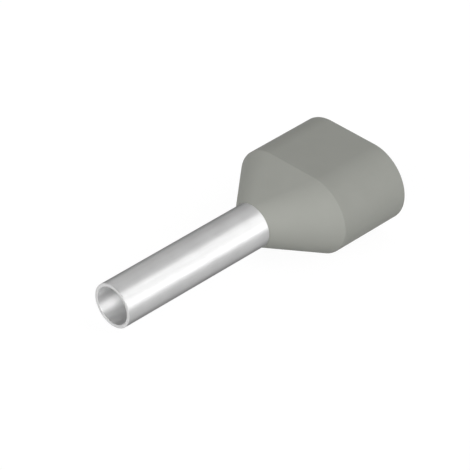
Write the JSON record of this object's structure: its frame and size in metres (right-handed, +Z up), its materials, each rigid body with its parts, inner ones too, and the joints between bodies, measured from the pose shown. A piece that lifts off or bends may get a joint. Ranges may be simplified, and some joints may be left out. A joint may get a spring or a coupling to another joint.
{
  "type": "wire ferrule",
  "caption": "Crimp ferrule: a thin round metal sleeve, flared inside an oval moulded plastic collar that takes wires side by side.",
  "frame": {"origin": "on the table, under the middle of the ferrule as it lies nose down", "axes": "+X from the sleeve's mouth towards the wire entry, +Y across the collar, +Z up"},
  "size_m": [0.0142, 0.006, 0.0039],
  "materials": {
    "tinned_copper": "satin",
    "grey_plastic": "matte"
  },
  "bodies": {
    "root": {"crimp_sleeve": "tinned_copper", "insulating_collar": "grey_plastic"}
  },
  "joints": []
}
